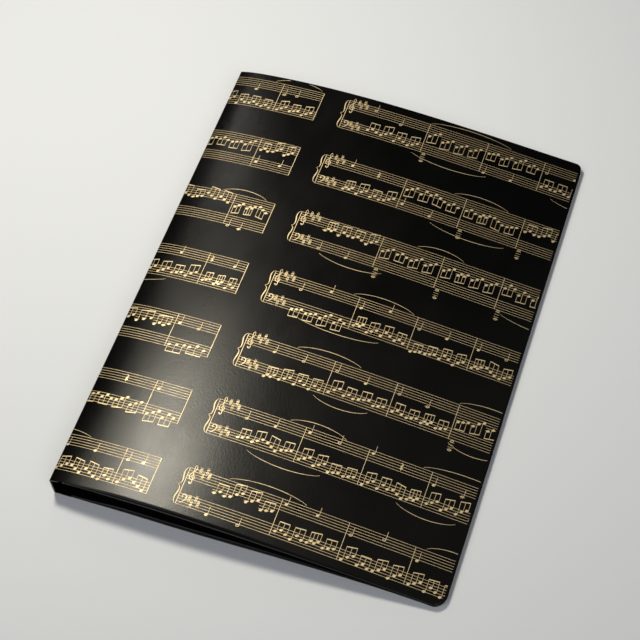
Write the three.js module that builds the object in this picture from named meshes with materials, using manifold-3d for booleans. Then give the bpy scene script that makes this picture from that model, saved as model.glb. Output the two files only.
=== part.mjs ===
// A4 music folder: one creased sheet that makes two covers and a spine, its bottom edge folded
// up inside each cover as a pocket. It lies closed on its back cover. Millimetres, +Z up,
// the spine on the -X side, the fore-edge on the +X side and the top of the pages towards +Y.
import * as THREE from 'three';
import { mergeVertices } from 'three/addons/utils/BufferGeometryUtils.js';
import Module from 'manifold-3d';

const wasm = await Module();
wasm.setup();

// Driving dimensions
const FOLDER_HEIGHT = 310;
const COVER_WIDTH = 230;
const SPINE_WIDTH = 16;
const SHEET = 0.9;
const CREASE_GAP = 0.3;
const FORE_EDGE_STACK = 4.2;
const FRONT_RISE_AT_SPINE = 10;
const FRONT_RISE_AT_EDGE = 10;
const BACK_FLAT_WIDTH = 70;
const BACK_ARCH = 9;
const TOP_CORNER_RADIUS = 4;
const BOTTOM_CORNER_RADIUS = 8;
const COVER_FACETS = 10;

// Inner pockets, folded up from the bottom edge and welded at both sides
const POCKET_HEIGHT = 120;
const POCKET_START = 10;
const POCKET_GAP = 2;
const POCKET_PRESSED_GAP = 0.1;
const POCKET_FULL_FROM = 45;
const POCKET_FULL_TO = 95;
const POCKET_FLAT_FROM = 185;
const WELD_WIDTH = 5;
const FOLD_STEPS = 6;

// Gold print: rows of grand staves, two five-line staves to a system
const INK_CLEARANCE = 0.02;
const INK_THICKNESS = 0.15;
const SYSTEM_ROWS = 7;
const TOP_PRINT_MARGIN = 5.5;
const BOTTOM_PRINT_MARGIN = 7;
const STAFF_LINES = 5;
const STAFF_SPACE = 1.65;
const LINE_WIDTH = 0.4;
const SYSTEM_HEIGHT = 22.7;
const BAR_WIDTH = 0.6;
const LEFT_COLUMN_START = 4;
const LEFT_COLUMN_END = 58;
const COLUMN_GAP = 17.5;
const FORE_EDGE_MARGIN = 2;

const BLACK = { color: 0x17171a, roughness: 0.42, metalness: 0 };
const GOLD = { color: 0xd9b877, roughness: 0.35, metalness: 0.6 };

// A sheet's outer face as a run of straight facets, with its outward normal at each station
function facetedFace(path, side) {
  const length = path.getLength();
  const stations = [];
  for (let i = 0; i <= COVER_FACETS; i += 1) {
    const point = path.getPointAt(i / COVER_FACETS);
    const tangent = path.getTangentAt(i / COVER_FACETS);
    stations.push({ point, normal: new THREE.Vector2(-tangent.y, tangent.x).multiplyScalar(side) });
  }
  const step = length / COVER_FACETS;
  const at = (along, height) => {
    const place = THREE.MathUtils.clamp(Math.floor(along / step), 0, COVER_FACETS - 1);
    const [a, b] = [stations[place], stations[place + 1]];
    const share = along / step - place;
    const start = a.point.clone().addScaledVector(a.normal, height);
    const end = b.point.clone().addScaledVector(b.normal, height);
    return start.lerp(end, share);
  };
  return { length, step, at };
}

const frontStart = SHEET + CREASE_GAP;
const coverRun = COVER_WIDTH - frontStart;

function frontFace() {
  const path = new THREE.CubicBezierCurve(
    new THREE.Vector2(frontStart, SPINE_WIDTH),
    new THREE.Vector2(frontStart + coverRun / 3, SPINE_WIDTH + FRONT_RISE_AT_SPINE),
    new THREE.Vector2(COVER_WIDTH - coverRun / 3, FORE_EDGE_STACK + FRONT_RISE_AT_EDGE),
    new THREE.Vector2(COVER_WIDTH, FORE_EDGE_STACK),
  );
  return facetedFace(path, 1);
}

function backFace() {
  const arched = COVER_WIDTH - BACK_FLAT_WIDTH;
  const path = new THREE.CurvePath();
  path.add(new THREE.LineCurve(new THREE.Vector2(frontStart, 0), new THREE.Vector2(BACK_FLAT_WIDTH, 0)));
  path.add(new THREE.CubicBezierCurve(
    new THREE.Vector2(BACK_FLAT_WIDTH, 0),
    new THREE.Vector2(BACK_FLAT_WIDTH + arched / 3, 0),
    new THREE.Vector2(COVER_WIDTH - arched / 3, BACK_ARCH),
    new THREE.Vector2(COVER_WIDTH, 0),
  ));
  return facetedFace(path, -1);
}

// How far the pocket's flap stands off its cover at a distance along the cover
function pocketGap(along) {
  const opening = THREE.MathUtils.smoothstep(along, POCKET_START + WELD_WIDTH, POCKET_FULL_FROM);
  const closing = THREE.MathUtils.smoothstep(along, POCKET_FULL_TO, POCKET_FLAT_FROM);
  return POCKET_PRESSED_GAP + (POCKET_GAP - POCKET_PRESSED_GAP) * opening * (1 - closing);
}

// Closed solid through one (y, height) outline per station along a face
function loft(face, stations, outline) {
  const rings = stations.map((along) => outline(along).map(([y, height]) => {
    const place = face.at(along, height);
    return new THREE.Vector3(place.x, y, place.y);
  }));
  const count = rings[0].length;
  const positions = rings.flat().flatMap((point) => point.toArray());
  const indices = [];
  for (let ring = 0; ring < rings.length - 1; ring += 1) {
    for (let i = 0; i < count; i += 1) {
      const next = (i + 1) % count;
      const [a, b] = [ring * count + i, ring * count + next];
      indices.push(a, b, b + count, a, b + count, a + count);
    }
  }
  const flat = outline(stations[0]).map(([y, height]) => new THREE.Vector2(y, height));
  const last = (rings.length - 1) * count;
  for (const [a, b, c] of THREE.ShapeUtils.triangulateShape(flat, [])) {
    indices.push(a, c, b);
    indices.push(last + a, last + b, last + c);
  }
  const geometry = new THREE.BufferGeometry();
  geometry.setAttribute('position', new THREE.Float32BufferAttribute(positions, 3));
  geometry.setIndex(indices);
  return facingOut(geometry);
}

function signedVolume(geometry) {
  const { index, attributes: { position } } = geometry;
  const corner = (i) => new THREE.Vector3().fromBufferAttribute(position, index.getX(i));
  let volume = 0;
  for (let i = 0; i < index.count; i += 3) {
    volume += corner(i).dot(corner(i + 1).cross(corner(i + 2))) / 6;
  }
  return volume;
}

function facingOut(geometry) {
  if (signedVolume(geometry) > 0) return geometry;
  const turned = Array.from(geometry.index.array);
  for (let i = 0; i < turned.length; i += 3) {
    [turned[i + 1], turned[i + 2]] = [turned[i + 2], turned[i + 1]];
  }
  geometry.setIndex(turned);
  return geometry;
}

function toSolid(geometry) {
  const bare = geometry.clone();
  bare.deleteAttribute('normal');
  bare.deleteAttribute('uv');
  const merged = mergeVertices(bare);
  return new wasm.Manifold(new wasm.Mesh({
    numProp: 3,
    vertProperties: new Float32Array(merged.attributes.position.array),
    triVerts: new Uint32Array(merged.index.array),
  }));
}

function fromSolid(solid) {
  const mesh = solid.getMesh();
  const geometry = new THREE.BufferGeometry();
  geometry.setAttribute('position', new THREE.Float32BufferAttribute(mesh.vertProperties, 3));
  geometry.setIndex(Array.from(mesh.triVerts));
  return geometry;
}

// Stations from one distance to another, with every facet line between them
function stationsBetween(face, from, to) {
  const stations = [from];
  for (let i = 1; i < COVER_FACETS; i += 1) {
    const line = i * face.step;
    if (line > from && line < to) stations.push(line);
  }
  stations.push(to);
  return stations;
}

// The sheet, the rolled fold at its bottom edge and the flap that runs back up inside
function foldedOutline(along) {
  const gap = pocketGap(along);
  const outer = SHEET + gap / 2;
  const points = [[FOLDER_HEIGHT, 0]];
  for (let i = 0; i <= FOLD_STEPS; i += 1) {
    const turn = (Math.PI * i) / FOLD_STEPS;
    points.push([outer - outer * Math.sin(turn), -outer + outer * Math.cos(turn)]);
  }
  points.push([POCKET_HEIGHT, -2 * outer], [POCKET_HEIGHT, -SHEET - gap]);
  for (let i = FOLD_STEPS; i >= 0; i -= 1) {
    const turn = (Math.PI * i) / FOLD_STEPS;
    points.push([outer - (gap / 2) * Math.sin(turn), -outer + (gap / 2) * Math.cos(turn)]);
  }
  points.push([FOLDER_HEIGHT, -SHEET]);
  return points;
}

// The strip beside the crease where the flap is cut away and the cover is one sheet
function flapCutOutline(along) {
  const middle = -SHEET - pocketGap(along) / 2;
  return [[-SHEET, middle], [-SHEET, middle - 2 * SHEET], [POCKET_HEIGHT + SHEET, middle - 2 * SHEET],
    [POCKET_HEIGHT + SHEET, middle]];
}

function weldOutline(along) {
  const gap = pocketGap(along);
  const low = -SHEET * 1.5 - gap;
  return [[SHEET, -SHEET / 2], [SHEET, low], [POCKET_HEIGHT - SHEET, low], [POCKET_HEIGHT - SHEET, -SHEET / 2]];
}

// Plan outline of a cover, with its rounded corners at the fore-edge
function coverPlan() {
  const tall = 100;
  const plan = new THREE.Shape();
  plan.moveTo(-SHEET, -SHEET);
  plan.lineTo(COVER_WIDTH - BOTTOM_CORNER_RADIUS, -SHEET);
  plan.lineTo(COVER_WIDTH - BOTTOM_CORNER_RADIUS, 0);
  plan.absarc(COVER_WIDTH - BOTTOM_CORNER_RADIUS, BOTTOM_CORNER_RADIUS, BOTTOM_CORNER_RADIUS,
    -Math.PI / 2, 0);
  const top = FOLDER_HEIGHT - TOP_CORNER_RADIUS;
  plan.absarc(COVER_WIDTH - TOP_CORNER_RADIUS, top, TOP_CORNER_RADIUS, 0, Math.PI / 2);
  plan.lineTo(-SHEET, FOLDER_HEIGHT);
  const geometry = new THREE.ExtrudeGeometry(plan, { depth: tall, bevelEnabled: false, curveSegments: 5 });
  return geometry.translate(0, 0, -tall / 2);
}

function coverGeometry(face) {
  const sheet = toSolid(loft(face, stationsBetween(face, 0, face.length), foldedOutline));
  const besideCrease = toSolid(loft(face, [-SHEET, POCKET_START], flapCutOutline));
  let cover = sheet.subtract(besideCrease);
  const welds = [[POCKET_START, POCKET_START + WELD_WIDTH], [face.length - WELD_WIDTH, face.length]];
  for (const [from, to] of welds) {
    cover = cover.add(toSolid(loft(face, stationsBetween(face, from, to), weldOutline)));
  }
  return fromSolid(cover.intersect(toSolid(coverPlan())));
}

// Flat strip with a rounded knuckle along each crease
function spineGeometry() {
  const knuckle = SHEET / 2;
  const outline = new THREE.Shape();
  outline.absarc(knuckle, SPINE_WIDTH - knuckle, knuckle, 0, Math.PI);
  outline.absarc(knuckle, knuckle, knuckle, Math.PI, 2 * Math.PI);
  const geometry = new THREE.ExtrudeGeometry(outline, {
    depth: FOLDER_HEIGHT, bevelEnabled: false, curveSegments: 8,
  });
  return geometry.rotateX(Math.PI / 2).translate(0, FOLDER_HEIGHT, 0);
}

// One system of two five-line staves, as a ladder of lines tied by a bar line at one end
function staffGeometry(face, from, to, barAtStart, top) {
  const staffHeight = (STAFF_LINES - 1) * STAFF_SPACE;
  const rows = [];
  for (const base of [top - SYSTEM_HEIGHT, top - staffHeight]) {
    for (let line = 0; line < STAFF_LINES; line += 1) rows.push(base + line * STAFF_SPACE);
  }
  const levels = rows.flatMap((row) => [row - LINE_WIDTH / 2, row + LINE_WIDTH / 2]);
  const bar = barAtStart ? from + BAR_WIDTH : to - BAR_WIDTH;
  const stations = [...stationsBetween(face, from, to), bar].sort((a, b) => a - b);
  const filled = (column, row) => {
    if (column < 0 || column >= stations.length - 1 || row < 0 || row >= levels.length - 1) return false;
    const onBar = barAtStart ? column === 0 : column === stations.length - 2;
    return onBar || row % 2 === 0;
  };
  return latticeGeometry(face, stations, levels, filled);
}

// Closed skin round the filled cells of a grid that lies on a face
function latticeGeometry(face, stations, levels, filled) {
  const positions = [];
  const corner = (column, row, height) => {
    const place = face.at(stations[column], height);
    return [place.x, levels[row], place.y];
  };
  const quad = (a, b, c, d) => positions.push(...a, ...b, ...c, ...a, ...c, ...d);
  const under = INK_CLEARANCE;
  const over = INK_CLEARANCE + INK_THICKNESS;
  for (let i = 0; i < stations.length - 1; i += 1) {
    for (let j = 0; j < levels.length - 1; j += 1) {
      if (!filled(i, j)) continue;
      const low = [[i, j], [i + 1, j], [i + 1, j + 1], [i, j + 1]];
      const lower = low.map(([column, row]) => corner(column, row, under));
      const upper = low.map(([column, row]) => corner(column, row, over));
      quad(...upper);
      quad(...lower.toReversed());
      const beside = [[i, j - 1], [i + 1, j], [i, j + 1], [i - 1, j]];
      beside.forEach(([column, row], side) => {
        if (filled(column, row)) return;
        const next = (side + 1) % beside.length;
        quad(lower[side], lower[next], upper[next], upper[side]);
      });
    }
  }
  const geometry = new THREE.BufferGeometry();
  geometry.setAttribute('position', new THREE.Float32BufferAttribute(positions, 3));
  return facingOut(mergeVertices(geometry));
}

function namedMesh(name, geometry, finish) {
  const mesh = new THREE.Mesh(geometry, new THREE.MeshStandardMaterial(finish));
  mesh.name = name;
  return mesh;
}

const folder = new THREE.Group();
const front = frontFace();
folder.add(namedMesh('back_cover', coverGeometry(backFace()), BLACK));
folder.add(namedMesh('spine', spineGeometry(), BLACK));
folder.add(namedMesh('front_cover', coverGeometry(front), BLACK));

const printHeight = FOLDER_HEIGHT - TOP_PRINT_MARGIN - BOTTOM_PRINT_MARGIN;
const rowPitch = (printHeight - SYSTEM_HEIGHT) / (SYSTEM_ROWS - 1);

for (let row = 0; row < SYSTEM_ROWS; row += 1) {
  const top = FOLDER_HEIGHT - TOP_PRINT_MARGIN - row * rowPitch;
  const rightStart = LEFT_COLUMN_END + COLUMN_GAP;
  const left = staffGeometry(front, LEFT_COLUMN_START, LEFT_COLUMN_END, false, top);
  const right = staffGeometry(front, rightStart, front.length - FORE_EDGE_MARGIN, true, top);
  folder.add(namedMesh(`stave_left_${row + 1}`, left, GOLD));
  folder.add(namedMesh(`stave_right_${row + 1}`, right, GOLD));
}

// The part stands with its origin under the middle of its box
folder.position.set(-COVER_WIDTH / 2, -FOLDER_HEIGHT / 2, 0);

export default folder;
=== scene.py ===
import math
import random

import bpy
import bmesh
import numpy as np
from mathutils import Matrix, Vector
from mathutils.geometry import delaunay_2d_cdt


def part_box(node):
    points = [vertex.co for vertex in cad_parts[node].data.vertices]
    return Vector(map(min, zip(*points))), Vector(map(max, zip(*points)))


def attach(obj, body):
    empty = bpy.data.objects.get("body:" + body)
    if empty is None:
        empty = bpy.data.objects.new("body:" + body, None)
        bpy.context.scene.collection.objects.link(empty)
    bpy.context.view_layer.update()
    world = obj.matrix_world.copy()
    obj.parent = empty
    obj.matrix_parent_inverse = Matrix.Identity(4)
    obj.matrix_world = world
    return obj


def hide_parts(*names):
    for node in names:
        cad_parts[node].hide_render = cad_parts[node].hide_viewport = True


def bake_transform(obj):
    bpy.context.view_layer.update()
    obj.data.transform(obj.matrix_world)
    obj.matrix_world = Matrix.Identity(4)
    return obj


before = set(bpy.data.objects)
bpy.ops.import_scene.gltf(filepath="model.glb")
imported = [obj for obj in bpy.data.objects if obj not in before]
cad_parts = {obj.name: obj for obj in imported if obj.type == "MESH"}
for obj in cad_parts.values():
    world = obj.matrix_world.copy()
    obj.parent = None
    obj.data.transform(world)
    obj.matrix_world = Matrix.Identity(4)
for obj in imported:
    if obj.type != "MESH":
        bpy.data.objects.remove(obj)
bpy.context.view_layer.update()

# The folder's driving sizes, in millimetres. The sheets are modelled with their spine at x = 0
# and their bottom edge at y = 0, and placed by the frame's own corner.
MM = 0.001
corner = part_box("spine")[0]
HEIGHT = (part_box("spine")[1].y - corner.y) / MM
SPINE = (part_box("spine")[1].z - corner.z) / MM
WIDTH = (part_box("front_cover")[1].x - corner.x) / MM
SHEET = 0.9
CREASE_RADIUS = 0.95
FORE_EDGE_STACK = 4.2
FRONT_RISE = 10
SHOULDER_RISE = 1.2
SHOULDER_WIDTH = 20
BACK_FLAT = 70
BACK_ARCH = 9
TOP_CORNER = 4
BOTTOM_CORNER = 8

# The pocket that is folded up inside each cover
POCKET_HEIGHT = 120
POCKET_START = 10
POCKET_GAP = 2
PRESSED_GAP = 0.1
WELD_WIDTH = 5
FULL_FROM = 45
FULL_TO = 95
FLAT_FROM = 185
FOLD_SPAN = 6.0
FOLD_STEPS = 16
NOTCH_BLEND = 0.3

# Steps along the covers' curves, and how the flat shapes are cut and bent
FRONT_STEPS = 400
BACK_STEPS = 300
ARC_STEPS = 24
RIPPLE = 0.11
SAME_PLACE = 1e-5
ALL_TRIANGLES = 0
SHARP_ANGLE = math.radians(40)

# Gold print: the ink's height over the sheet, and the staves' spaces and line widths
INK_LOW = 0.004
INK_HIGH = 0.04
SPACE = 1.65
LINE = 0.2
STEM = 0.22
STEM_LENGTH = 5.2
BEAM = 0.55
BEAM_REACH = 4.59
BAR = 0.36
INNER_BAR = 0.8 * BAR
LEDGER_REACH = 1.6
STAFF_LINES = 5
STAFF = (STAFF_LINES - 1) * SPACE
SYSTEM = 22.7
ROWS = 7
TOP_MARGIN = 5.5
BOTTOM_MARGIN = 7
ROW_PITCH = (HEIGHT - TOP_MARGIN - BOTTOM_MARGIN - SYSTEM) / (ROWS - 1)
SYSTEM_LENGTH = 190
LEFT_END = 58
COLUMN_GAP = 17.5
BOTTOM_ROOM = 8.5
EDGE_MARGIN = 1.2
PRINT_SKEW = math.radians(0.65)

# How the music is set out in a system
PREFACE_LENGTH = 15.5
BAR_LENGTHS = (37.5, 38.5, 49.5)
BAR_ROOM = 2.4
GROUPS_IN_BAR = 4
GROUP_GAP = 3.2
SLUR_LENGTHS = (26, 58)
SLUR_GAPS = (40, 130)
SEED = 400


def smooth(value, low, high):
    """0 below low, 1 above high and a smooth step between them."""
    t = min(max((value - low) / (high - low), 0.0), 1.0)
    return t * t * (3 - 2 * t)


def bezier(points, count):
    """Points and unit tangents along one cubic curve."""
    a, b, c, d = (Vector(p) for p in points)
    run = []
    for i in range(count + 1):
        u = i / count
        place = a * (1 - u) ** 3 + b * 3 * u * (1 - u) ** 2 + c * 3 * u * u * (1 - u) + d * u ** 3
        slope = (b - a) * 3 * (1 - u) ** 2 + (c - b) * 6 * u * (1 - u) + (d - c) * 3 * u * u
        run.append((place, slope.normalized()))
    return run


class Face:
    """The outer face of half the wrap, from the middle of the spine to one fore-edge.

    A distance s along it is 0 where the cover leaves its crease, and negative on the crease
    and the spine. A height h is measured outwards from the face."""

    def __init__(self, cover, side):
        start, along = cover[0]
        turn = math.acos(max(-1.0, min(1.0, along.y * side)))
        normal = Vector((-along.y, along.x)) * side
        centre = start - normal * CREASE_RADIUS
        middle = Vector((centre.x - CREASE_RADIUS, SPINE / 2))
        run = [(middle, Vector((-1, 0)))]
        for i in range(ARC_STEPS):
            angle = turn * i / ARC_STEPS
            outward = Vector((-math.cos(angle), side * math.sin(angle)))
            run.append((centre + outward * CREASE_RADIUS, outward))
        for place, tangent in cover:
            run.append((place, Vector((-tangent.y, tangent.x)) * side))
        points = np.array([p for p, _ in run])
        lengths = np.concatenate([[0], np.cumsum(np.hypot(*np.diff(points, axis=0).T))])
        self.s = lengths - lengths[ARC_STEPS + 1]
        self.points = points
        self.normals = np.array([n for _, n in run])
        self.start = self.s[0]
        self.crease = self.s[1]
        self.length = self.s[-1]

    def at(self, s, h):
        """The (x, z) place of a height over a distance along the face."""
        x, z, nx, nz = (
            np.interp(s, self.s, column)
            for column in (*self.points.T, *self.normals.T)
        )
        size = math.hypot(nx, nz)
        return x + nx / size * h, z + nz / size * h


def shoulder(x):
    """Extra height and slope of the front cover at a distance from its crease.

    The sheet swings up beside the crease and comes back slowly towards the fore-edge."""
    near = max(1 - x / SHOULDER_WIDTH, 0)
    run = WIDTH - CREASE_RADIUS
    far = x / run
    rise = SHOULDER_RISE * (1 - near ** 3 - far * far * (3 - 2 * far))
    slope = SHOULDER_RISE * (3 * near ** 2 / SHOULDER_WIDTH - 6 * far * (1 - far) / run)
    return rise, slope


def front_face():
    """One free curve from the crease to the fore-edge, swung up beside the crease."""
    run = WIDTH - CREASE_RADIUS
    tilt = math.atan(3 * FRONT_RISE / run + shoulder(0)[1])
    start = CREASE_RADIUS * (1 - math.sin(tilt))
    third = (WIDTH - start) / 3
    curve = bezier(
        [(start, SPINE), (start + third, SPINE + FRONT_RISE),
         (WIDTH - third, FORE_EDGE_STACK + FRONT_RISE), (WIDTH, FORE_EDGE_STACK)], FRONT_STEPS)
    swung = []
    for place, tangent in curve:
        rise, slope = shoulder(place.x - start)
        leaning = tangent + Vector((0, slope * tangent.x))
        swung.append((place + Vector((0, rise)), leaning.normalized()))
    return Face(swung, 1)


def back_face():
    """Flat beside the spine, then one shallow arch to the fore-edge."""
    flat = [(Vector((CREASE_RADIUS, 0.0)), Vector((1.0, 0.0)))]
    third = (WIDTH - BACK_FLAT) / 3
    arch = bezier(
        [(BACK_FLAT, 0), (BACK_FLAT + third, 0), (WIDTH - third, BACK_ARCH), (WIDTH, 0)], BACK_STEPS)
    return Face(flat + arch, -1)


def pocket_gap(s):
    """The room between a cover and its flap, pressed shut at the weld and at the fore-edge."""
    opening = smooth(s, POCKET_START + WELD_WIDTH, FULL_FROM)
    closing = smooth(s, FULL_TO, FLAT_FROM)
    return PRESSED_GAP + (POCKET_GAP - PRESSED_GAP) * opening * (1 - closing)


def ripple(s, y):
    """Slow, shallow unevenness of the sheet, none at its creases and edges."""
    hold = smooth(s, 8, 50) * (1 - smooth(s, 170, 222))
    wave = math.sin(y * 0.031 + s * 0.021) + 0.6 * math.sin(y * 0.057 - s * 0.034 + 1.9)
    return RIPPLE * hold * wave * smooth(y, 0, 40) * (1 - smooth(y, 270, HEIGHT))


class Sheet:
    """Bends flat patterns on to one half of the wrap: s along the wrap, w up the sheet.

    w is 0 where the fold at the bottom edge starts, and runs down through the fold to
    -FOLD_SPAN and then back up the pocket's flap."""

    def __init__(self, face):
        self.face = face

    def rim(self, s):
        """The outer radius of the rolled fold."""
        return SHEET + pocket_gap(s) / 2

    def foot(self, s):
        """Where the flat cover starts above its rolled edge: none in the notch at the spine."""
        return self.rim(s) * smooth(s, POCKET_START - NOTCH_BLEND, POCKET_START)

    def height_of(self, s, w):
        """The y of a place on the outer side of the pattern."""
        if w >= 0:
            return self.foot(s) + w * (HEIGHT - self.foot(s)) / HEIGHT
        if w >= -FOLD_SPAN:
            return self.rim(s) * (1 - math.sin(-w / FOLD_SPAN * math.pi))
        return self.rim(s) - FOLD_SPAN - w

    def place(self, s, w, h):
        """The place of a flat point at a height over the outer side."""
        rim = self.rim(s)
        y = self.height_of(s, w)
        if w < -FOLD_SPAN:
            h = -2 * rim - h
        elif w < 0:
            angle = -w / FOLD_SPAN * math.pi
            y = rim - (rim + h) * math.sin(angle)
            h = -rim + (rim + h) * math.cos(angle)
        x, z = self.face.at(s, h + ripple(s, y))
        return x, y, z

    def place_ink(self, s, y, h):
        """The place of ink at a height y, measured round the fold where it runs over it."""
        foot = self.foot(s)
        if y < foot:
            return self.place(s, -(foot - y) / (math.pi * foot) * FOLD_SPAN, h)
        return self.place(s, (y - foot) * HEIGHT / (HEIGHT - foot), h)


def covered(polygons, places):
    """Which of the flat places lie inside any of the polygons."""
    order = np.argsort(places[:, 0])
    along = places[order, 0]
    inside = np.zeros(len(places), bool)
    for polygon in polygons:
        start = np.array(polygon)
        end = np.roll(start, -1, 0)
        low, high = start.min(0), start.max(0)
        first, last = np.searchsorted(along, (low[0], high[0]))
        near = order[first:last]
        near = near[(places[near, 1] > low[1]) & (places[near, 1] < high[1]) & ~inside[near]]
        x, y = places[near, :1], places[near, 1:]
        with np.errstate(divide="ignore", invalid="ignore"):
            crossing = start[:, 0] + (y - start[:, 1]) * (end - start)[:, 0] / (end - start)[:, 1]
        beyond = ((start[:, 1] > y) != (end[:, 1] > y)) & (crossing > x)
        inside[near] = beyond.sum(1) % 2 == 1
    return inside


def cut(polygons, s_lines, w_lines, low, high):
    """Triangles inside any of the flat polygons, split along the grid's lines."""
    verts, edges, faces = [], [], []
    for polygon in polygons:
        area = sum(
            a[0] * b[1] - b[0] * a[1] for a, b in zip(polygon, polygon[1:] + polygon[:1]))
        ordered = polygon if area > 0 else polygon[::-1]
        faces.append(list(range(len(verts), len(verts) + len(ordered))))
        verts += [Vector(p) for p in ordered]
    for s in s_lines:
        edges.append((len(verts), len(verts) + 1))
        verts += [Vector((s, low[1])), Vector((s, high[1]))]
    for w in w_lines:
        edges.append((len(verts), len(verts) + 1))
        verts += [Vector((low[0], w)), Vector((high[0], w))]
    points, _, triangles, *_ = delaunay_2d_cdt(verts, edges, faces, ALL_TRIANGLES, SAME_PLACE, False)
    flat = np.array([tuple(p) for p in points])
    inside = covered(polygons, flat[np.array(triangles)].mean(1))
    return points, [t for t, kept in zip(triangles, inside) if kept]


def thicken(name, points, triangles, place, low, high):
    """A closed piece from flat triangles, bent by place between two heights."""
    used = sorted({i for t in triangles for i in t})
    index = {old: new for new, old in enumerate(used)}
    count = len(used)
    verts = [place(*points[i], high) for i in used] + [place(*points[i], low) for i in used]
    faces = []
    sides = []
    for t in triangles:
        a, b, c = (index[i] for i in t)
        faces.append((a, b, c))
        faces.append((c + count, b + count, a + count))
        sides += [(a, b), (b, c), (c, a)]
    shared = set(sides)
    for a, b in sides:
        if (b, a) not in shared:
            faces.append((b, a, a + count, b + count))
    mesh = bpy.data.meshes.new(name)
    mesh.from_pydata([Vector(v) * MM + corner for v in verts], [], faces)
    work = bmesh.new()
    work.from_mesh(mesh)
    bmesh.ops.recalc_face_normals(work, faces=work.faces)
    work.to_mesh(mesh)
    work.free()
    mesh.shade_smooth()
    mesh.set_sharp_from_angle(angle=SHARP_ANGLE)
    piece = bpy.data.objects.new(name, mesh)
    bpy.context.collection.objects.link(piece)
    return piece


def grid_lines(face):
    """Distances along a face where its pieces are split, so that they share their facets."""
    spine_step, crease_steps, cover_step = 1.2, 10, 4.0
    spine = list(np.arange(face.start + spine_step, face.crease, spine_step))
    crease = [face.crease * (1 - i / crease_steps) for i in range(crease_steps + 1)]
    first = [1.0, 2.0, 3.0, 4.5, 6.0, 8.0, 9.4, 9.7, 10.0, 11.0, 12.5]
    cover = list(np.arange(15.0, face.length - 1, cover_step))
    return spine + crease + first + cover


def blank(sheet):
    """The flat outline of one cover with its half of the spine and its flap."""
    face = sheet.face
    end = face.length
    flap_end = -FOLD_SPAN - POCKET_HEIGHT
    flap_corner = 6
    flap_steps, bottom_steps, top_steps = 6, 10, 8

    def edge(w):
        """Where the fore-edge lies at w, round its lower corner."""
        y = sheet.height_of(end - BOTTOM_CORNER, w)
        inset = max(BOTTOM_CORNER - y, 0)
        return end - BOTTOM_CORNER + math.sqrt(BOTTOM_CORNER ** 2 - inset ** 2)

    outline = [(face.start, 0.0), (POCKET_START, 0.0), (POCKET_START, flap_end + flap_corner)]
    for i in range(1, flap_steps + 1):
        angle = math.pi / 2 * i / flap_steps
        outline.append((POCKET_START + flap_corner * (1 - math.cos(angle)),
                        flap_end + flap_corner * (1 - math.sin(angle))))
    turns = [math.pi / 2 * i / bottom_steps for i in range(1, bottom_steps + 1)]
    flap_side = [flap_end, -FOLD_SPAN - BOTTOM_CORNER]
    flap_side += [-FOLD_SPAN - BOTTOM_CORNER * (1 - math.sin(turn)) for turn in turns[:-1]]
    fold = [-FOLD_SPAN * (1 - i / FOLD_STEPS) for i in range(FOLD_STEPS + 1)]
    cover_side = [BOTTOM_CORNER * (1 - math.cos(turn)) for turn in turns]
    outline += [(edge(w), w) for w in flap_side + fold + cover_side]
    for i in range(top_steps + 1):
        angle = math.pi / 2 * i / top_steps
        outline.append((end - TOP_CORNER * (1 - math.cos(angle)),
                        HEIGHT - TOP_CORNER * (1 - math.sin(angle))))
    outline.append((face.start, HEIGHT))
    return outline


def sheet_piece(name, sheet):
    """One cover with its half of the spine and its flap, split more finely beside the fold."""
    step = 10.0
    fold_lines = [-FOLD_SPAN * i / FOLD_STEPS for i in range(FOLD_STEPS + 1)]
    cover_lines = [0.6, 1.5, 4.0] + list(np.arange(step, HEIGHT, step))
    flap_lines = [-FOLD_SPAN - w for w in np.arange(step, POCKET_HEIGHT, step)]
    low = (sheet.face.start - 1, -FOLD_SPAN - POCKET_HEIGHT - 1)
    high = (sheet.face.length + 1, HEIGHT + 1)
    points, triangles = cut(
        [blank(sheet)], grid_lines(sheet.face), flap_lines + fold_lines + cover_lines, low, high)
    return thicken(name, points, triangles, sheet.place, -SHEET, 0.0)


# Notation, drawn flat: u along the wrap from the front crease, y up the sheet


def ellipse(x, y, wide, tall, tilt, count=14):
    turned = []
    for i in range(count):
        angle = 2 * math.pi * i / count
        a, b = wide / 2 * math.cos(angle), tall / 2 * math.sin(angle)
        turned.append((x + a * math.cos(tilt) - b * math.sin(tilt),
                       y + a * math.sin(tilt) + b * math.cos(tilt)))
    return turned


def ring(x, y, wide, tall, tilt, hole, hole_tilt):
    """Quads between an ellipse and a smaller one, hole being the shares of its two sizes."""
    outer = ellipse(x, y, wide, tall, tilt)
    inner = ellipse(x, y, wide * hole[0], tall * hole[1], hole_tilt)
    count = len(outer)
    after = [(i + 1) % count for i in range(count)]
    return [[outer[i], outer[j], inner[j], inner[i]] for i, j in enumerate(after)]


def box(x0, y0, x1, y1):
    return [(x0, y0), (x1, y0), (x1, y1), (x0, y1)]


def smooth_run(points, steps=4):
    """Points on a smooth curve through a few chosen ones."""
    padded = [points[0]] + list(points) + [points[-1]]
    run = []
    for a, b, c, d in zip(padded, padded[1:], padded[2:], padded[3:]):
        for i in range(steps):
            t = i / steps
            run.append(tuple(
                0.5 * (2 * q + (r - p) * t + (2 * p - 5 * q + 4 * r - s) * t * t
                       + (3 * q - p - 3 * r + s) * t ** 3)
                for p, q, r, s in zip(a, b, c, d)))
    run.append(tuple(points[-1]))
    return run


def stroke(points, width):
    """Quads along a run of points, as wide as width says at each share of the way."""
    quads = []
    count = len(points)
    sides = []
    for i, point in enumerate(points):
        before, after = points[max(i - 1, 0)], points[min(i + 1, count - 1)]
        dx, dy = after[0] - before[0], after[1] - before[1]
        size = math.hypot(dx, dy) or 1.0
        half = width(i / (count - 1)) / 2
        sides.append(((point[0] - dy / size * half, point[1] + dx / size * half),
                      (point[0] + dy / size * half, point[1] - dx / size * half)))
    for (a, b), (c, d) in zip(sides, sides[1:]):
        quads.append([b, d, c, a])
    return quads


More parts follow.
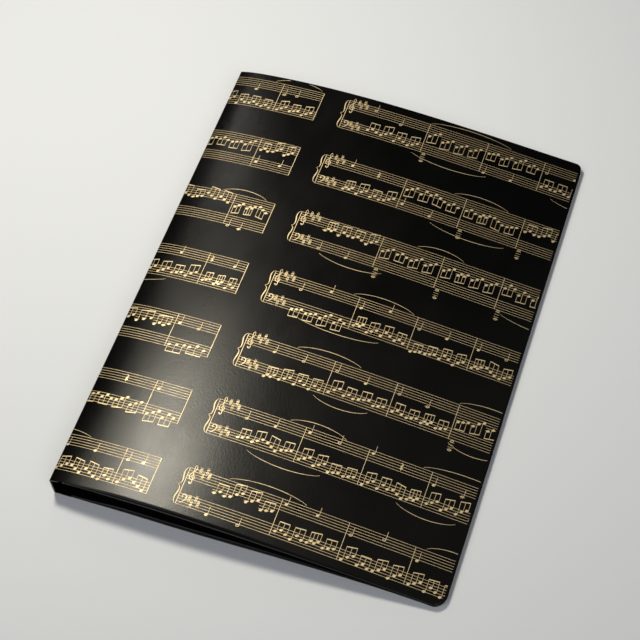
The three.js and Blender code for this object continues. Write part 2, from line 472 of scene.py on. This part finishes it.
def scaled(points, x, y, size):
    return [(x + px * size, y + py * size) for px, py in points]


def slur(x0, y0, x1, y1, bulge):
    """An arch between two places, thickest in its middle."""
    steps = 24
    thin, swell = 0.14, 0.18
    points = []
    for i in range(steps + 1):
        t = i / steps
        arch = 4 * t * (1 - t)
        points.append((x0 + (x1 - x0) * t, y0 + (y1 - y0) * t + bulge * arch ** 0.8))
    return stroke(points, lambda t: thin + swell * math.sin(math.pi * t))


def brace(x, y0, y1):
    tall = y1 - y0
    half = [(-0.5, 0.5), (-1.6, 0.44), (-1.9, 0.33), (-1.25, 0.17), (-1.35, 0.06), (-2.7, 0.0)]
    thin, swell = 0.18, 0.5
    shapes = []
    for flip in (1, -1):
        points = [(x + px, (y0 + y1) / 2 + flip * py * tall) for px, py in half]
        shapes += stroke(smooth_run(points, 5), lambda t: thin + swell * math.sin(math.pi * t) ** 2)
    return shapes


def treble_clef(x, y):
    """y is the staff's second line from below."""
    points = [(0.05, -0.45), (-0.42, 0.0), (-0.05, 0.6), (0.6, 0.4), (0.75, -0.3), (0.2, -1.0),
              (-0.7, -0.85), (-1.05, 0.05), (-0.75, 1.1), (0.05, 2.1), (0.5, 3.1), (0.35, 4.1),
              (0.0, 4.35), (-0.3, 3.6), (-0.12, 2.2), (0.25, -0.6), (0.42, -1.9), (0.1, -2.6),
              (-0.4, -2.4)]
    run = smooth_run(scaled(points, x, y, SPACE))
    shapes = stroke(run, lambda t: 0.24 + 0.26 * math.sin(5 * t) ** 2)
    shapes.append(ellipse(x - 0.35 * SPACE, y - 2.25 * SPACE, 0.95, 0.95, 0, 10))
    return shapes


def bass_clef(x, y):
    """y is the staff's second line from above."""
    points = [(-0.6, 0.0), (-0.5, 0.7), (0.15, 1.0), (0.8, 0.55), (0.85, -0.35), (0.35, -1.4),
              (-0.75, -2.35)]
    run = smooth_run(scaled(points, x, y, SPACE))
    shapes = stroke(run, lambda t: 0.26 + 0.42 * math.sin(math.pi * t))
    shapes.append(ellipse(x - 0.45 * SPACE, y - 0.05, 0.95, 0.95, 0, 10))
    for side in (0.5, -0.5):
        shapes.append(ellipse(x + 1.35 * SPACE, y + side * SPACE, 0.5, 0.5, 0, 8))
    return shapes


def sharp(x, y):
    """Two upright strokes crossed by two thicker, slanted ones."""
    tall, wide = 1.3 * SPACE, 0.85
    shapes = [box(x + dx - STEM / 2, y - tall, x + dx + STEM / 2, y + tall) for dx in (-0.34, 0.38)]
    for dy in (-0.45 * SPACE, 0.45 * SPACE):
        shapes.append([(x - wide, y + dy - 0.38), (x + wide, y + dy - 0.12),
                       (x + wide, y + dy + 0.38), (x - wide, y + dy + 0.12)])
    return shapes


def quarter_rest(x, y):
    points = [(-0.35, 1.35), (0.35, 0.6), (-0.25, 0.0), (0.4, -0.75), (-0.35, -0.7), (0.1, -1.5)]
    run = smooth_run(scaled(points, x, y, SPACE), 3)
    return stroke(run, lambda t: 0.3 + 0.4 * math.sin(math.pi * t))


def head(x, y):
    return ellipse(x, y, 1.2 * SPACE, 0.92 * SPACE, 0.36, 12)


def open_head(x, y):
    return ring(x, y, 1.25 * SPACE, 0.95 * SPACE, 0.3, (0.72, 0.5), 0.55)


def ledger_line(x, y, reach=LEDGER_REACH):
    return box(x - reach, y - LINE / 2, x + reach, y + LINE / 2)


def ledger_lines(x, y, low, high):
    """Short lines that carry a note which lies off its staff."""
    nearly = 0.1
    shapes = []
    level = high + SPACE
    while level <= y + nearly:
        shapes.append(ledger_line(x, level))
        level += SPACE
    level = low - SPACE
    while level >= y - nearly:
        shapes.append(ledger_line(x, level))
        level -= SPACE
    return shapes


def beamed(x, y_of, steps, pitch, up, low, high):
    """A group of eighth notes under one beam; steps are its heights in half spaces."""
    shapes = []
    ys = [y_of(step) for step in steps]
    side = 0.5 * SPACE if up else -0.5 * SPACE
    tilt = max(-1.0, min(1.0, (ys[-1] - ys[0]) * 0.3))
    base = max(ys) + BEAM_REACH if up else min(ys) - BEAM_REACH
    xs = [x + i * pitch for i in range(len(steps))]
    span = xs[-1] - xs[0]
    for px, py in zip(xs, ys):
        shapes.append(head(px, py))
        shapes += ledger_lines(px, py, low, high)
        tip = base + tilt * ((px - xs[0]) / span - 0.5)
        sx = px + side
        shapes.append(box(sx - STEM / 2, min(py, tip), sx + STEM / 2, max(py, tip)))
    left, right = xs[0] + side - STEM / 2, xs[-1] + side + STEM / 2
    shapes.append([(left, base - (tilt + BEAM) / 2), (right, base + (tilt - BEAM) / 2),
                   (right, base + (tilt + BEAM) / 2), (left, base - (tilt - BEAM) / 2)])
    return shapes


def single_note(x, y, open_one, low, high):
    """A note with its stem upwards."""
    shapes = open_head(x, y) if open_one else [head(x, y)]
    shapes += ledger_lines(x, y, low, high)
    side = x + 0.52 * SPACE
    shapes.append(box(side - STEM / 2, y, side + STEM / 2, y + STEM_LENGTH))
    return shapes


def low_octave(x, low):
    """Two heads an octave apart that hang below a staff on ledger lines."""
    octave, ledgers, ledger_reach = 3.5 * SPACE, 4, 1.5
    upper = low - SPACE / 2
    shapes = open_head(x, upper) + open_head(x, upper - octave)
    for i in range(1, ledgers + 1):
        shapes.append(ledger_line(x, low - i * SPACE, ledger_reach))
    return shapes


# The heights of the notes in a group, in half spaces
FIGURES = ((0, 2, 4), (0, 3, 5), (0, 4, 2), (0, 2, 4), (1, 3, 1), (4, 2, 0), (0, 1, 2), (0, 2, 1, 3))


def measure(draw, x0, x1, pitch, staves, dense_upper):
    """Fills one bar: running groups on one staff and slow notes on the other."""
    shapes = []
    group_start, slow_start, pair_start = x0 + 2.3, x0 + 2.6, x0 + 2.8
    (low_a, high_a), (low_b, high_b) = staves
    dense = (low_a, high_a) if dense_upper else (low_b, high_b)
    sparse = (low_b, high_b) if dense_upper else (low_a, high_a)
    length = x1 - x0 - BAR_ROOM
    groups = max(1, round(length / pitch))
    pitch = length / groups
    anchor = draw.choice((-4, -3, -2, -1)) if dense_upper else draw.choice((0, 1, 2, 3, 4))
    up = draw.random() < (0.3 if dense_upper else 0.75) or dense[0] < BOTTOM_ROOM
    for g in range(groups):
        figure = draw.choice(FIGURES)
        inner = (pitch - GROUP_GAP) / (len(figure) - 1)
        shift = anchor + draw.choice((-1, 0, 0, 1))
        x = group_start + g * pitch
        shapes += beamed(x, lambda step: dense[0] + (step + shift) * SPACE / 2, figure, inner, up, *dense)
    kind = draw.random()
    if dense_upper and kind < 0.6 and sparse[0] > BOTTOM_ROOM:
        shapes += low_octave(slow_start, sparse[0])
    elif kind < 0.8:
        for x in (pair_start, pair_start + pitch * (groups // 2)):
            y = sparse[0] + draw.choice((-2, -1, 0, 1, 5)) * SPACE / 2
            shapes += single_note(x, y, draw.random() < 0.4, *sparse)
    else:
        for g in range(0, groups, 2):
            x = slow_start + g * pitch
            if draw.random() < 0.5:
                shapes += quarter_rest(x, sparse[0] + 2 * SPACE)
            else:
                y = sparse[0] + draw.choice((2, 3, 5, 6)) * SPACE / 2
                shapes += single_note(x, y, False, *sparse)
    return shapes


def bar_line(x, low, high, width):
    return box(x - width / 2, low - LINE / 2, x + width / 2, high + LINE / 2)


def preface(start, staves):
    """The brace, clefs and key signature that open a system."""
    (low_a, high_a), (low_b, high_b) = staves
    shapes = [bar_line(start, low_b, high_a, BAR)]
    shapes += brace(start - 0.1, low_b, high_a)
    shapes += treble_clef(start + 3.0, low_a + SPACE)
    shapes += bass_clef(start + 3.0, high_b - SPACE)
    first_sharp, sharp_pitch = 6.4, 1.85
    for i, step in enumerate((8, 5, 9, 6)):
        x = start + first_sharp + sharp_pitch * i
        shapes += sharp(x, low_a + step * SPACE / 2)
        shapes += sharp(x, low_b + (step - 2) * SPACE / 2)
    return shapes


def system(draw, start, end, top):
    """One grand staff from its brace to its last bar line, as flat polygons.

    Slurs arch over the upper staff and under the lower one."""
    bottom = top - SYSTEM
    staves = [(top - STAFF, top), (bottom, bottom + STAFF)]
    shapes = []
    for low, _ in staves:
        for i in range(STAFF_LINES):
            y = low + i * SPACE
            shapes.append(box(start, y - LINE / 2, end, y + LINE / 2))
    shapes += preface(start, staves)
    shapes.append(bar_line(end, bottom, top, BAR))
    first = start + PREFACE_LENGTH
    length = draw.choice(BAR_LENGTHS)
    pitch = (length - BAR_ROOM) / GROUPS_IN_BAR
    bars = [first]
    while bars[-1] + 1.5 * length < end:
        bars.append(bars[-1] + length + draw.uniform(-1, 1))
    bars.append(end)
    dense_upper = draw.random() < 0.6
    for x0, x1 in zip(bars, bars[1:]):
        if draw.random() < 0.25:
            dense_upper = not dense_upper
        shapes += measure(draw, x0, x1, pitch, staves, dense_upper)
        shapes.append(bar_line(x1, bottom, top, INNER_BAR))
    over, over_bulge = 0.9, 3.4
    under, under_bulge = 2.4, -3.6
    arches = [(top + over, over_bulge)]
    if bottom > BOTTOM_ROOM:
        arches.append((bottom - under, under_bulge))
    for level, bulge in arches:
        x = first + draw.uniform(-8, 80)
        while x < end - 30:
            length = min(draw.uniform(*SLUR_LENGTHS), end - 2 - x)
            shapes += slur(x, level, x + length, level + draw.uniform(-0.5, 0.5), bulge)
            x += length + draw.uniform(*SLUR_GAPS)
    return shapes


def skewed(polygons):
    """Turns the print very slightly about a place between its two columns."""
    turn_u, turn_y = 67, HEIGHT / 2
    return [[(u + (y - turn_y) * PRINT_SKEW, y - (u - turn_u) * PRINT_SKEW) for u, y in polygon]
            for polygon in polygons]


def on_sheet(face, s, y):
    """Whether a place lies inside the sheet's edges and its rounded corners."""
    to_edge = face.length - s
    for radius, level in ((BOTTOM_CORNER, y), (TOP_CORNER, HEIGHT - y)):
        if min(to_edge, level) < EDGE_MARGIN:
            return False
        if max(to_edge, level) < radius:
            if math.hypot(radius - to_edge, radius - level) > radius - EDGE_MARGIN:
                return False
    return True


def print_piece(name, sheet, polygons, s_of, keep):
    """Ink polygons on one half of the wrap, as a closed film."""
    face = sheet.face
    u_lines = [s_of(s) for s in grid_lines(face) + [face.start, face.length - EDGE_MARGIN]]
    ys = [y for polygon in polygons for _, y in polygon]
    us = [u for polygon in polygons for u, _ in polygon]
    u_lines = [u for u in u_lines if min(us) < u < max(us)]
    y_lines = [y for y in (EDGE_MARGIN, HEIGHT - EDGE_MARGIN) if min(ys) < y < max(ys)]
    low, high = (min(us) - 1, min(ys) - 1), (max(us) + 1, max(ys) + 1)
    points, triangles = cut(polygons, u_lines, y_lines, low, high)
    kept = []
    for t in triangles:
        u, y = (sum(points[i][axis] for i in t) / len(t) for axis in (0, 1))
        if keep(u) and on_sheet(face, s_of(u), y):
            kept.append(t)

    def place(u, y, h):
        return sheet.place_ink(s_of(u), y, h)

    return thicken(name, points, kept, place, INK_LOW, INK_HIGH)


def material(name):
    """A new material with its node tree and its shader."""
    made = bpy.data.materials.new(name)
    made.use_nodes = True
    tree = made.node_tree
    shader = next(n for n in tree.nodes if n.type == "BSDF_PRINCIPLED")
    return made, tree, shader


def noise(tree, coords, scale, stretch, detail, roughness=0.5):
    """Noise over the coordinates, drawn out by stretch."""
    mapping = tree.nodes.new("ShaderNodeMapping")
    mapping.inputs["Scale"].default_value = stretch
    texture = tree.nodes.new("ShaderNodeTexNoise")
    texture.inputs["Scale"].default_value = scale
    texture.inputs["Detail"].default_value = detail
    texture.inputs["Roughness"].default_value = roughness
    tree.links.new(coords, mapping.inputs["Vector"])
    tree.links.new(mapping.outputs["Vector"], texture.inputs["Vector"])
    return texture.outputs["Fac"]


def ramp(tree, value, stops):
    """Maps a value from one range to another, the two given as pairs."""
    node = tree.nodes.new("ShaderNodeMapRange")
    (low, high), (to_low, to_high) = stops
    node.inputs["From Min"].default_value = low
    node.inputs["From Max"].default_value = high
    node.inputs["To Min"].default_value = to_low
    node.inputs["To Max"].default_value = to_high
    tree.links.new(value, node.inputs["Value"])
    return node.outputs["Result"]


def black_sheet():
    """Satin black polypropylene: fine embossed grain and faint handling smudges."""
    made, tree, shader = material("satin_black")
    coords = tree.nodes.new("ShaderNodeTexCoord").outputs["Object"]
    shader.inputs["Base Color"].default_value = (0.0012, 0.0012, 0.0013, 1)
    shader.inputs["IOR"].default_value = 1.49
    shader.inputs["Specular IOR Level"].default_value = 0.25
    grain = noise(tree, coords, 1500, (1, 0.5, 1), 2)
    smudge = noise(tree, coords, 22, (1.3, 0.8, 1), 3, 0.55)
    rough = ramp(tree, smudge, ((0.35, 0.7), (0.24, 0.31)))
    tree.links.new(rough, shader.inputs["Roughness"])
    bump = tree.nodes.new("ShaderNodeBump")
    bump.inputs["Strength"].default_value = 0.22
    bump.inputs["Distance"].default_value = 0.0002
    tree.links.new(grain, bump.inputs["Height"])
    tree.links.new(bump.outputs["Normal"], shader.inputs["Normal"])
    return made


def gold_print():
    """Metallic gold ink with slightly uneven cover."""
    made, tree, shader = material("gold_ink")
    coords = tree.nodes.new("ShaderNodeTexCoord").outputs["Object"]
    patch = noise(tree, coords, 260, (1, 1, 1), 3)
    mix = tree.nodes.new("ShaderNodeMix")
    mix.data_type = "RGBA"
    mix.inputs["A"].default_value = (0.7, 0.57, 0.345, 1)
    mix.inputs["B"].default_value = (0.88, 0.73, 0.48, 1)
    tree.links.new(ramp(tree, patch, ((0.3, 0.7), (0, 1))), mix.inputs["Factor"])
    tree.links.new(mix.outputs["Result"], shader.inputs["Base Color"])
    shader.inputs["Metallic"].default_value = 0.95
    tree.links.new(ramp(tree, patch, ((0.3, 0.7), (0.62, 0.54))), shader.inputs["Roughness"])
    return made


BLACK = (black_sheet(), "black_sheet")
GOLD = (gold_print(), "gold_print")


def dress(piece, finish):
    """Gives a piece its material."""
    made, slot = finish
    piece.data.materials.clear()
    piece.data.materials.append(made)
    return piece


front_sheet = Sheet(front_face())
back_sheet = Sheet(back_face())

front_piece = dress(sheet_piece("front_sheet", front_sheet), BLACK)
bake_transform(front_piece)
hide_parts("front_cover", "spine")
back_piece = dress(sheet_piece("back_sheet", back_sheet), BLACK)
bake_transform(back_piece)
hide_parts("back_cover")

middle = front_sheet.face.start


def on_front(u):
    """Distance along the front cover of a place along the wrap."""
    return u


def on_back(u):
    """Distance along the back cover of a place along the wrap, and the other way round."""
    return middle + back_sheet.face.start - u


def anywhere(u):
    return True


def before_middle(u):
    """Whether a place along the wrap is on the front half."""
    return u > middle


def behind_middle(u):
    """Whether a place along the wrap is on the back half."""
    return u < middle


# Two columns of music on the front and one on the back; the left one runs round the spine
right_start = LEFT_END + COLUMN_GAP
left_start = LEFT_END - SYSTEM_LENGTH
back_end = left_start - COLUMN_GAP

for row in range(ROWS):
    top = HEIGHT - TOP_MARGIN - row * ROW_PITCH
    draw = random.Random(SEED + row)
    number = row + 1

    right = skewed(system(draw, right_start, right_start + SYSTEM_LENGTH, top))
    piece = print_piece(f"print_right_{number}", front_sheet, right, on_front, anywhere)
    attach(dress(piece, GOLD), "front")
    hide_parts(f"stave_right_{number}")

    wrap = skewed(system(draw, left_start, LEFT_END, top))
    piece = print_piece(f"print_left_{number}", front_sheet, wrap, on_front, before_middle)
    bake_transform(dress(piece, GOLD))
    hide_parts(f"stave_left_{number}")
    piece = print_piece(f"print_wrap_{number}", back_sheet, wrap, on_back, behind_middle)
    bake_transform(dress(piece, GOLD))

    outer = skewed(system(draw, back_end - SYSTEM_LENGTH, back_end, top))
    piece = print_piece(f"print_back_{number}", back_sheet, outer, on_back, anywhere)
    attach(dress(piece, GOLD), "back")


def camera():
    """At the photograph's place, from a fit of the folder's outline."""
    seen = bpy.data.cameras.new("camera")
    seen.sensor_width = 36
    seen.lens = 87.41
    seen.clip_start, seen.clip_end = 0.01, 20
    rig = bpy.data.objects.new("camera", seen)
    rig.location = (0.17762, -0.45194, 0.79999)
    rig.rotation_euler = [math.radians(a) for a in (31.2937, 2.1366, 18.8242)]
    bpy.context.collection.objects.link(rig)
    bpy.context.scene.camera = rig


def lamp(name, kind, place, aim, **values):
    """A lamp at a place that points at another."""
    light = bpy.data.lights.new(name, kind)
    for key, value in values.items():
        setattr(light, key, value)
    rig = bpy.data.objects.new(name, light)
    rig.location = place
    rig.rotation_euler = (Vector(aim) - Vector(place)).to_track_quat("-Z", "Y").to_euler()
    bpy.context.collection.objects.link(rig)


def studio():
    """A pale floor, a dim world, a softbox with a strip for the sheen, and soft fills."""
    floor_size = 30
    mesh = bpy.data.meshes.new("floor")
    ends = (-floor_size, floor_size)
    mesh.from_pydata([(x, y, 0) for x in ends for y in ends], [], [(0, 2, 3, 1)])
    floor = bpy.data.objects.new("floor", mesh)
    bpy.context.collection.objects.link(floor)
    made, _, shader = material("floor")
    shader.inputs["Base Color"].default_value = (0.76, 0.79, 0.85, 1)
    shader.inputs["Roughness"].default_value = 0.9
    mesh.materials.append(made)
    world = bpy.data.worlds.new("studio")
    bpy.context.scene.world = world
    world.use_nodes = True
    sky = next(n for n in world.node_tree.nodes if n.type == "BACKGROUND")
    sky.inputs["Color"].default_value = (0.9, 0.95, 1.0, 1)
    sky.inputs["Strength"].default_value = 0.025
    middle_of_cover = (-0.055, -0.055, 0.018)
    lower_right = (0.07, -0.1, 0.015)
    lamp("softbox", "AREA", (-0.291, 0.168, 0.734), middle_of_cover, shape="RECTANGLE",
         size=0.16, size_y=0.16, energy=4.4, color=(1.0, 0.94, 0.79))
    lamp("strip", "AREA", (-0.304, 0.358, 0.376), middle_of_cover, shape="RECTANGLE",
         size=0.03, size_y=0.14, energy=0.14, color=(1.0, 0.94, 0.85))
    lamp("low_panel", "AREA", (0.27, 0.06, 0.5), lower_right, shape="RECTANGLE",
         size=0.5, size_y=0.5, energy=0.12, color=(1.0, 0.95, 0.85))
    lamp("fill_right", "SUN", (0.6, -0.6, 0.9), (0, 0, 0), energy=0.55, angle=0.6)
    lamp("fill_left", "SUN", (-0.6, -0.6, 0.9), (0, 0, 0), energy=0.55, angle=0.6)


camera()
studio()
bpy.context.scene.view_settings.view_transform = "Standard"
bpy.context.view_layer.update()
